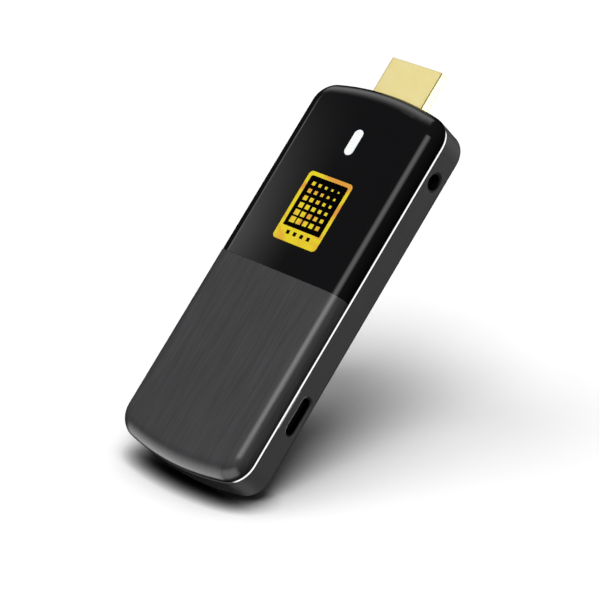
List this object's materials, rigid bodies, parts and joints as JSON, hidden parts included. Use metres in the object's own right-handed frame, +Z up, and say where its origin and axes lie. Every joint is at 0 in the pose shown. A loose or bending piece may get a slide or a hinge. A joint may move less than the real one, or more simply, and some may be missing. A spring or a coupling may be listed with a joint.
{
  "type": "streaming stick",
  "caption": "Slim plug-in streaming stick: dark case, bright trim ring, gloss and brushed covers, gold video plug, power and audio sockets.",
  "frame": {"origin": "middle of the case's flat underside, midway along the body and its width", "axes": "+X to the side with the two sockets, +Y along the stick to the video plug, +Z up to the top face"},
  "size_m": [0.0356, 0.0984, 0.0112],
  "materials": {
    "case_plastic": "fine matt dark grey moulding",
    "trim_metal": "bright plated ring",
    "gloss_black": "piano black",
    "brushed_grey": "dark grey with fine brushed lines along the stick",
    "badge_black": "black print",
    "gold_foil": "yellow to orange foil",
    "light_window": "milky white light guide",
    "gold_plate": "pale gold plating",
    "black_moulding": "black connector moulding",
    "contact_gold": "gold contacts",
    "socket_steel": "nickel plated sheet",
    "board_laminate": "dark green solder mask",
    "screw_steel": "zinc plated",
    "chip_epoxy": "black epoxy",
    "pad_silicone": "soft grey blue pad",
    "spreader_aluminium": "plain milled",
    "can_steel": "tinned sheet",
    "ferrite": "dark ferrite",
    "capacitor_ceramic": "tan ceramic",
    "lamp_resin": "clear yellow resin"
  },
  "bodies": {
    "stick": {"lower_case": "case_plastic", "trim_ring": "trim_metal", "gloss_cover": "gloss_black", "brushed_cover": "brushed_grey", "badge_plate": "badge_black", "badge_foil": "gold_foil", "light_guide": "light_window", "video_plug_shell": "gold_plate", "video_plug_core": "black_moulding", "video_plug_contacts_upper": "contact_gold", "video_plug_contacts_lower": "contact_gold", "power_socket_shell": "socket_steel", "power_socket_tongue": "black_moulding", "power_socket_contacts": "contact_gold", "audio_jack_body": "black_moulding", "audio_jack_contacts": "contact_gold", "main_board": "board_laminate", "board_screws": "screw_steel", "system_chip": "chip_epoxy", "memory_chips": "chip_epoxy", "thermal_pads": "pad_silicone", "heat_spreader": "spreader_aluminium", "flash_chip": "chip_epoxy", "wireless_module": "board_laminate", "module_can": "can_steel", "power_chip": "chip_epoxy", "power_inductors": "ferrite", "crystal": "can_steel", "capacitors": "capacitor_ceramic", "filter_chokes": "ferrite", "status_lamp": "lamp_resin", "aerial": "can_steel", "reset_housing": "black_moulding", "reset_cover_plate": "can_steel"},
    "reset_button": {"reset_plunger": "black_moulding"}
  },
  "joints": [
    {"name": "reset_press", "type": "slide", "parent": "stick", "child": "reset_button", "axis": [0, 0, 1], "range_m": [0, 0.00025], "stiffness_N_per_m": 400, "springref_m": -0.001}
  ]
}
